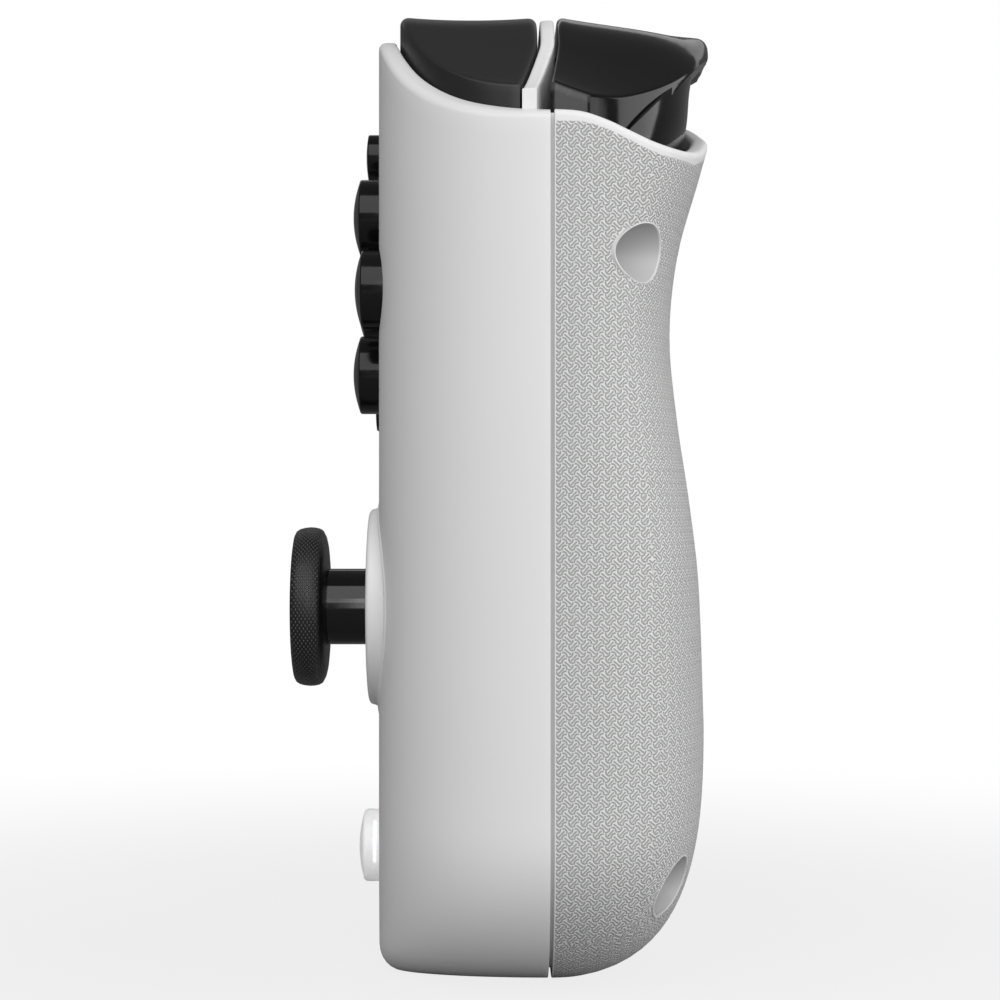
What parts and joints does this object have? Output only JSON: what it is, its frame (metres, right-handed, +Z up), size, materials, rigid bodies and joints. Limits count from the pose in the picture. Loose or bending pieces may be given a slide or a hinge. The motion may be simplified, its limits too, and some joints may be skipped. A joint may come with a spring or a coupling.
{
  "type": "handheld console grip",
  "caption": "Right-hand grip that slides on to a handheld console, with face buttons, thumb stick, bumper and trigger.",
  "frame": {"origin": "middle of the slide rail, on the console-side face", "axes": "+X from the console to the grip's outer side, -Y the button face, +Y the back, +Z up"},
  "size_m": [0.0575, 0.0468, 0.1064],
  "materials": {
    "white_shell": "smooth white moulded plastic, satin",
    "white_grip": "white moulded plastic with a fine engraved weave of short curved grooves",
    "black_satin": "satin black plastic",
    "black_gloss": "polished black plastic",
    "stick_rubber": "black rubber with a knurled rim",
    "pad_rubber": "grey silicone rubber",
    "frosted_white": "frosted translucent plastic",
    "grey_plastic": "grey moulded plastic",
    "steel": "plain steel",
    "contact_gold": "gold plated",
    "board_green": "solder mask over glass fibre board",
    "battery_wrap": "wrapped lithium pouch"
  },
  "bodies": {
    "housing": {"front_shell": "white_shell", "back_shell": "white_grip", "side_plate": "white_shell", "slide_rail": "steel", "rail_screws": "steel", "latch_spring": "steel", "contact_block": "black_satin", "contact_pins": "contact_gold", "shoulder_frame": "grey_plastic", "shoulder_divider": "white_shell", "bumper_pin": "steel", "bumper_switch": "black_satin", "trigger_pin": "steel", "trigger_spring": "steel", "trigger_sensor": "black_satin", "button_pad": "pad_rubber", "tact_switches": "black_satin", "home_light_guide": "frosted_white", "stick_bezel": "white_shell", "stick_housing": "steel", "stick_sensors": "black_satin", "stick_click_switch": "black_satin", "stick_bracket": "steel", "bracket_screws": "steel", "main_board": "board_green", "board_screws": "steel", "frame_screws": "steel", "battery_tray": "grey_plastic", "battery": "battery_wrap", "motor_can": "steel", "motor_boot": "pad_rubber", "case_screws": "steel"},
    "bumper_lever": {"bumper": "black_satin"},
    "trigger_lever": {"trigger": "black_gloss", "trigger_magnet": "steel"},
    "top_button": {"button_top": "black_gloss"},
    "outer_button": {"button_outer": "black_gloss"},
    "bottom_button": {"button_bottom": "black_gloss"},
    "inner_button": {"button_inner": "black_gloss"},
    "menu_key": {"menu_button": "black_gloss"},
    "function_key": {"function_button": "black_satin"},
    "home_key": {"home_button": "frosted_white"},
    "gimbal_yoke": {"stick_yoke": "grey_plastic"},
    "gimbal_cradle": {"stick_cradle": "grey_plastic"},
    "thumb_stick": {"stick_shaft": "black_gloss", "stick_cap": "stick_rubber"},
    "release_key": {"release_button": "black_satin"},
    "latch_bar": {"rail_latch": "steel"},
    "motor_rotor": {"motor_weight": "steel"}
  },
  "joints": [
    {"name": "bumper_press", "type": "hinge", "parent": "housing", "child": "bumper_lever", "pos_m": [0.008, 0.006, 0.0466], "axis": [0, 1, 0], "range_deg": [0, 1.8], "stiffness_Nm_per_rad": 0.8, "springref_deg": -1.15},
    {"name": "trigger_pull", "type": "hinge", "parent": "housing", "child": "trigger_lever", "pos_m": [0.025, 0.015, 0.0405], "axis": [-1, 0, 0], "range_deg": [0, 12], "stiffness_Nm_per_rad": 0.05, "springref_deg": -8.59},
    {"name": "top_button_press", "type": "slide", "parent": "housing", "child": "top_button", "axis": [0, 1, 0], "range_m": [0, 0.0012], "stiffness_N_per_m": 400, "springref_m": -0.0005, "deforming": ["button_pad"]},
    {"name": "outer_button_press", "type": "slide", "parent": "housing", "child": "outer_button", "axis": [0, 1, 0], "range_m": [0, 0.0012], "stiffness_N_per_m": 400, "springref_m": -0.0005, "deforming": ["button_pad"]},
    {"name": "bottom_button_press", "type": "slide", "parent": "housing", "child": "bottom_button", "axis": [0, 1, 0], "range_m": [0, 0.0012], "stiffness_N_per_m": 400, "springref_m": -0.0005, "deforming": ["button_pad"]},
    {"name": "inner_button_press", "type": "slide", "parent": "housing", "child": "inner_button", "axis": [0, 1, 0], "range_m": [0, 0.0012], "stiffness_N_per_m": 400, "springref_m": -0.0005, "deforming": ["button_pad"]},
    {"name": "menu_press", "type": "slide", "parent": "housing", "child": "menu_key", "axis": [0, 1, 0], "range_m": [0, 0.0006], "stiffness_N_per_m": 600, "springref_m": -0.0004},
    {"name": "function_press", "type": "slide", "parent": "housing", "child": "function_key", "axis": [0, 1, 0], "range_m": [0, 0.0003], "stiffness_N_per_m": 600, "springref_m": -0.0004},
    {"name": "home_press", "type": "slide", "parent": "housing", "child": "home_key", "axis": [0, 1, 0], "range_m": [0, 0.0006], "stiffness_N_per_m": 600, "springref_m": -0.0004},
    {"name": "stick_up_down", "type": "hinge", "parent": "housing", "child": "gimbal_yoke", "pos_m": [0.0274, 0.003, -0.0113], "axis": [1, 0, 0], "range_deg": [-15, 15], "stiffness_Nm_per_rad": 0.03},
    {"name": "stick_side_to_side", "type": "hinge", "parent": "gimbal_yoke", "child": "gimbal_cradle", "pos_m": [0.0274, 0.003, -0.0113], "axis": [0, 0, 1], "range_deg": [-15, 15], "stiffness_Nm_per_rad": 0.03},
    {"name": "stick_click", "type": "slide", "parent": "gimbal_cradle", "child": "thumb_stick", "axis": [0, 1, 0], "range_m": [0, 0.0005], "stiffness_N_per_m": 2000, "springref_m": -0.0005},
    {"name": "release_press", "type": "slide", "parent": "housing", "child": "release_key", "axis": [0, -1, 0], "range_m": [0, 0.0015], "stiffness_N_per_m": 400, "springref_m": -0.0006},
    {"name": "latch_slide", "type": "slide", "parent": "housing", "child": "latch_bar", "axis": [1, 0, 0], "range_m": [0, 0.0015], "deforming": ["latch_spring"]},
    {"name": "motor_spin", "type": "hinge", "parent": "housing", "child": "motor_rotor", "pos_m": [0.02, 0.0174, 0.007], "axis": [1, 0, 0], "continuous": true}
  ],
  "couplings": [
    {"joint": "latch_slide", "follows": "release_press", "ratio": 1}
  ]
}
